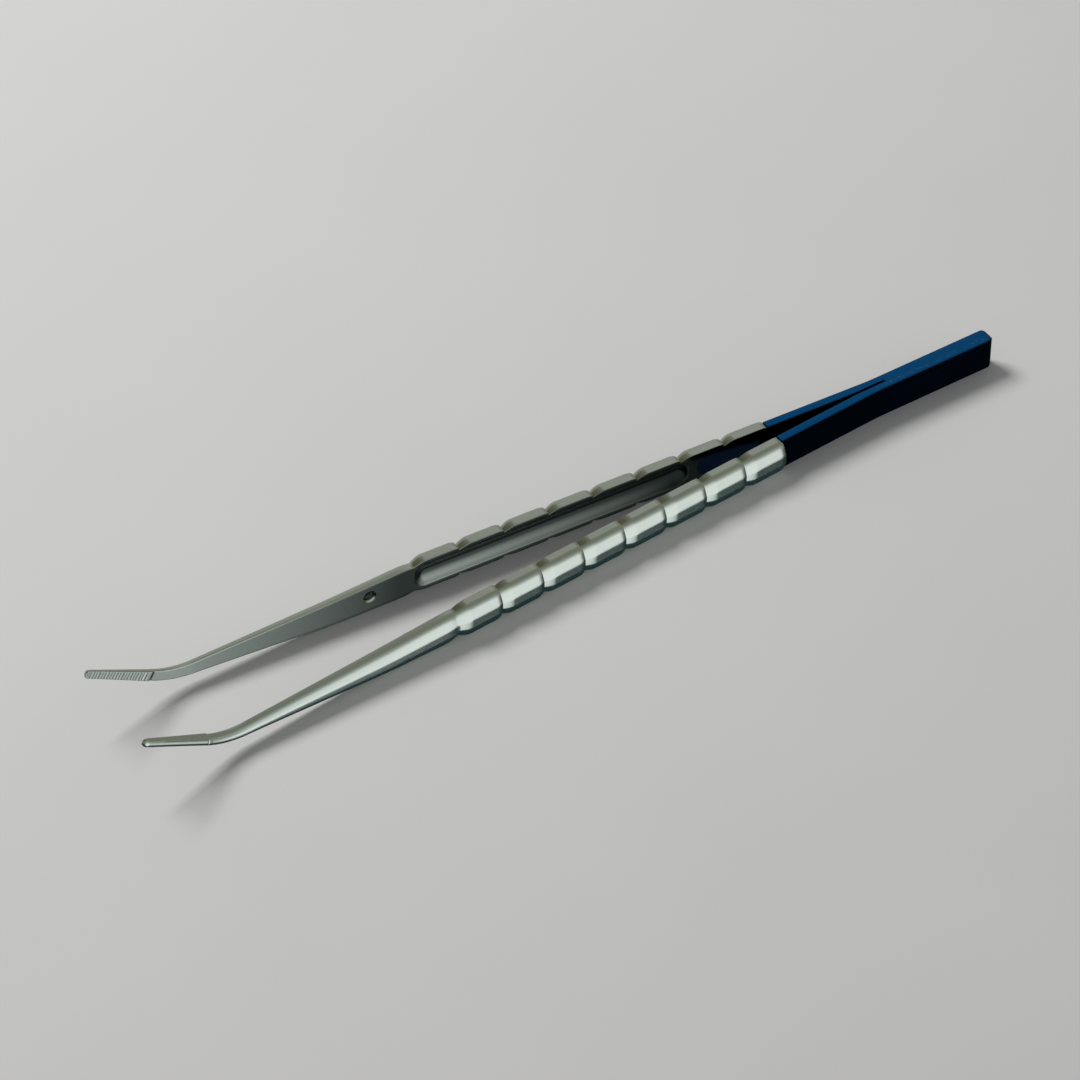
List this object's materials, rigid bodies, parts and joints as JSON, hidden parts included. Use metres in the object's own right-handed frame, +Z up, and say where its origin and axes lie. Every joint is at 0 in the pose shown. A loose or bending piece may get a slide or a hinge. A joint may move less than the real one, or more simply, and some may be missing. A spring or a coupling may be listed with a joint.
{
  "type": "precision tweezers",
  "caption": "Bent-tip precision tweezers with bamboo-style ribbed steel grips, blue spring leaves joined at the rear, a guide pin and serrated jaws.",
  "frame": {"origin": "on the mid-plane between the arms, at mid-length, on the plane the tweezers rest on", "axes": "+X along the tweezers to the rear end, -X to the tips; +Y from the near arm to the far arm, the closing direction; +Z up, the way the tips bend"},
  "size_m": [0.1512, 0.017, 0.01],
  "materials": {
    "satin_steel": "satin polished stainless steel",
    "blue_coat": "gloss dark blue coat over spring steel",
    "pin_steel": "ground stainless steel pin"
  },
  "bodies": {
    "rear_joint": {"near_leaf_rear": "blue_coat", "far_leaf_rear": "blue_coat", "rear_dowels": "pin_steel"},
    "near_side": {"near_arm": "satin_steel", "near_leaf_front": "blue_coat", "near_arm_dowels": "pin_steel", "guide_pin": "pin_steel"},
    "far_side": {"far_arm": "satin_steel", "far_leaf_front": "blue_coat", "far_arm_dowels": "pin_steel"}
  },
  "joints": [
    {"name": "near_flexure", "type": "hinge", "parent": "rear_joint", "child": "near_side", "pos_m": [0.04601, -0.00117, 0.0028], "axis": [0, 0, -1], "range_deg": [0, 3.64], "stiffness_Nm_per_rad": 1.6},
    {"name": "far_flexure", "type": "hinge", "parent": "rear_joint", "child": "far_side", "pos_m": [0.04601, 0.00117, 0.0028], "axis": [0, 0, 1], "range_deg": [0, 3.64], "stiffness_Nm_per_rad": 1.6}
  ],
  "couplings": [
    {"joint": "far_flexure", "follows": "near_flexure", "ratio": 1}
  ]
}
